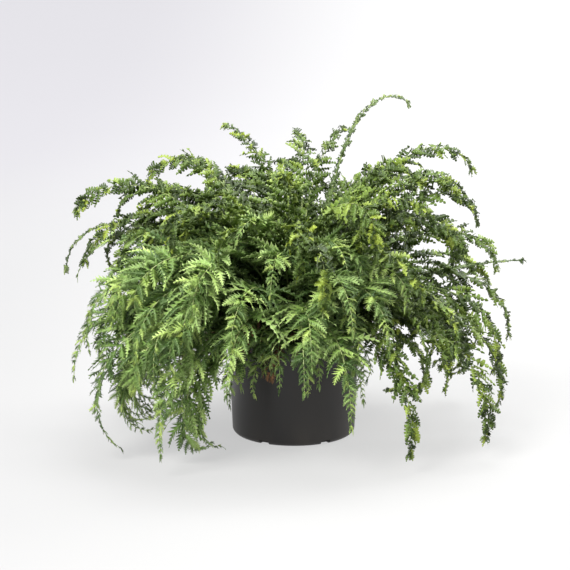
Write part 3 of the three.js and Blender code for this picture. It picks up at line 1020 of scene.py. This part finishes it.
def grow_stubs(build, count, rng):
    """Old stalks, cut or rotted off short, all over the crown."""
    base, out = on_crown(count, 2 * MM, rng)
    lean = np.linalg.norm(base[:, :2], axis=1, keepdims=True) / CROWN_RADIUS
    along = unit(UP * (1.3 - lean) + out * lean + rng.normal(0, 0.25, (count, 3)))
    side = unit(np.cross(along, UP + 0.1))
    up = np.cross(side, along)
    length = rng.uniform(6, 20, (count, 1)) * MM
    place = np.linspace(0, 1, STUB_ROWS)
    around = math.pi - np.arange(STUB_CORNERS) * 2 * math.pi / STUB_CORNERS
    sections = np.empty((count, STUB_ROWS, STUB_CORNERS, 3))
    for k, t in enumerate(place):
        width = (2.6 - 1.1 * t) * MM * rng.uniform(0.85, 1.15, (count, 1))
        centre = base + along * length * t - UP * 0.12 * length * t * t
        for c, angle in enumerate(around):
            sections[:, k, c] = centre + width * (side * math.cos(angle) + up * math.sin(angle))
    build.add(sections, chance_data(sections, rng), ON_BARK)


def crown_dome(rng):
    """The body of the crown, with a foot that sits in the mix."""
    angles = -np.arange(DOME_SEGMENTS) * 2 * math.pi / DOME_SEGMENTS
    sections = np.empty((1, DOME_ROWS + 1, DOME_SEGMENTS, 3))
    for k in range(DOME_ROWS):
        radius = CROWN_RADIUS * (0.02 + 0.98 * k / (DOME_ROWS - 1))
        rough = rng.uniform(-1.6, 0.4, DOME_SEGMENTS) * MM
        sections[0, k, :, 0] = radius * np.cos(angles)
        sections[0, k, :, 1] = radius * np.sin(angles)
        sections[0, k, :, 2] = dome_height(radius) + rough
    sections[0, -1] = sections[0, 0] * [1, 1, 0] + [0, 0, CROWN[0, 2] - 1 * MM]
    return sections


def grow_crown_scales(build, count, rng):
    """Papery scales over the crown, standing up and curling out."""
    base, out = on_crown(count, 1 * MM, rng)
    along = unit(UP + out * 0.6 + rng.normal(0, 0.4, (count, 3)))
    across = unit(np.cross(along, out + rng.normal(0, 0.3, (count, 3))))
    length = rng.uniform(4, 9, (count, 1)) * MM
    scales = papery(base, along, across, np.cross(across, along), length, 0.9 * MM, 0.3)
    build.add(scales, chance_data(scales, rng), ON_CROWN_SCALE)


def grow_litter(build, count, rng):
    """Dead, curled leaf lying on the mix and caught among the stalks."""
    start = scatter(count, MIX_RADIUS - 14 * MM, rng)
    start[:, 2] += rng.uniform(2, 22, count) * MM
    heading = unit(rng.normal(size=(count, 3)) * [1, 1, 0.3])
    length = rng.uniform(14, 30, count) * MM
    breadth = rng.uniform(2.5, 4.5, count) * MM
    dry = {**HABITS["crisped"], "sag": 0.8, "twist": 80, "ruffle": 0.9}
    forward = unit(np.cross(heading, UP))
    place = np.zeros(count)
    normal = np.broadcast_to(UP, (count, 3))
    grow_pinnae(
        build, dry, start, heading, normal, forward, length, breadth, place, rng, ON_LITTER
    )


crown = Build()
crown.add(crown_dome(rng), (0, 0, 0.4, 0), ON_BARK)
grow_stubs(crown, STUBS, rng)
grow_crown_scales(crown, CROWN_SCALES, rng)
grow_litter(crown, DEAD_LEAVES, rng)
crown.piece("scaly_crown", [CROWN_BARK, SCALE, DEAD_LEAF], "rhizome", "rhizome_crown")

# ---- Floor, light and camera --------------------------------------------------------------

# The backdrop, in metres.
BOWL_RADIUS, BOWL_COVE, BOWL_HEIGHT = 6.5, 3.2, 5.0
BOWL_SEGMENTS, COVE_STEPS = 96, 12
HUB_RADIUS = 0.01  # of the flat face in the middle of the floor


def bowl_mesh():
    """A floor that curves up into a wall, far away on every side."""
    bend = np.linspace(0, math.pi / 2, COVE_STEPS + 1)
    reach = BOWL_RADIUS - BOWL_COVE + BOWL_COVE * np.sin(bend)
    reach = np.concatenate([[HUB_RADIUS], reach, [BOWL_RADIUS]])
    height = np.concatenate([[0.0], BOWL_COVE - BOWL_COVE * np.cos(bend), [BOWL_HEIGHT]])
    turn = np.linspace(0, 2 * math.pi, BOWL_SEGMENTS + 1)[:-1]
    vertices = [(r * math.cos(t), r * math.sin(t), z) for r, z in zip(reach, height) for t in turn]
    faces = [tuple(reversed(range(BOWL_SEGMENTS)))]
    for low in range(0, len(vertices) - BOWL_SEGMENTS, BOWL_SEGMENTS):
        high = low + BOWL_SEGMENTS
        for j in range(BOWL_SEGMENTS):
            after = (j + 1) % BOWL_SEGMENTS
            faces.append((low + j, low + after, high + after, high + j))
    mesh = bpy.data.meshes.new("backdrop")
    mesh.from_pydata(vertices, [], faces)
    mesh.polygons.foreach_set("use_smooth", [True] * len(faces))
    return mesh


def backdrop_material():
    """A dim surface that glows by itself: evenly pale, and a little darker far to the left."""
    m = Nodes("pale_backdrop")
    split = m.node("ShaderNodeSeparateXYZ", Vector=m.place())
    slant = m.math("MULTIPLY", split.outputs["Y"], 0.12)
    across = m.math("SUBTRACT", split.outputs["X"], slant)
    near = m.mix(m.span(across, -0.7, 0.1), (0.41, 0.41, 0.42, 1), (0.54, 0.54, 0.54, 1))
    far = m.mix(m.span(across, -1.3, 0.2), (0.58, 0.57, 0.61, 1), (0.84, 0.84, 0.84, 1))
    glow = m.mix(m.span(split.outputs["Y"], 0.4, 4.0), near, far)
    m.shader.inputs["Base Color"].default_value = (0.14, 0.14, 0.14, 1)
    m.plug(glow, m.shader.inputs["Emission Color"])
    m.shader.inputs["Emission Strength"].default_value = 1.0
    m.shader.inputs["Roughness"].default_value = 0.9
    return m.material


def soft_light(name, place, aim, size, power, colour=(1, 1, 1)):
    """A round area light at a place in metres, aimed at another."""
    light = bpy.data.lights.new(name, "AREA")
    light.shape = "DISK"
    light.size = size
    light.energy = power
    light.color = colour
    lamp = bpy.data.objects.new(name, light)
    lamp.location = place
    lamp.rotation_euler = (Vector(aim) - Vector(place)).to_track_quat("-Z", "Y").to_euler()
    bpy.context.collection.objects.link(lamp)


backdrop = bpy.data.objects.new("backdrop", bowl_mesh())
backdrop.data.materials.append(backdrop_material())
bpy.context.collection.objects.link(backdrop)
soft_light("key", (-1.4, -1.7, 2.4), (0, 0, 0.2), 1.7, 160, (1.0, 0.99, 0.96))
soft_light("fill", (1.8, -1.6, 1.2), (0, 0, 0.2), 1.8, 18)
soft_light("top", (0.2, 0.6, 2.5), (0, 0, 0.2), 1.8, 62)
soft_light("edge", (1.7, 1.1, 1.4), (0, 0, 0.25), 1.0, 34, (1.0, 0.99, 0.94))
soft_light("backdrop_light", (0.3, 1.6, 3.2), (0.5, 4.5, 0.0), 2.0, 120)

world = bpy.data.worlds.new("studio")
world.use_nodes = True
world.node_tree.nodes["Background"].inputs["Color"].default_value = (0.95, 0.97, 1.0, 1)
world.node_tree.nodes["Background"].inputs["Strength"].default_value = 0.34
bpy.context.scene.world = world
bpy.context.scene.view_settings.view_transform = "Standard"

CAMERA_DISTANCE = 2.0
CAMERA_ELEVATION = math.radians(11)
CAMERA_AIM = np.array([-0.011, 0.0, 0.189])
camera = bpy.data.objects.new("camera", bpy.data.cameras.new("camera"))
camera.data.lens = 100
camera.data.sensor_width = 36
away = np.array([0, -math.cos(CAMERA_ELEVATION), math.sin(CAMERA_ELEVATION)])
camera.location = CAMERA_AIM + CAMERA_DISTANCE * away
camera.rotation_euler = (math.pi / 2 - CAMERA_ELEVATION, 0, 0)
bpy.context.collection.objects.link(camera)
bpy.context.scene.camera = camera
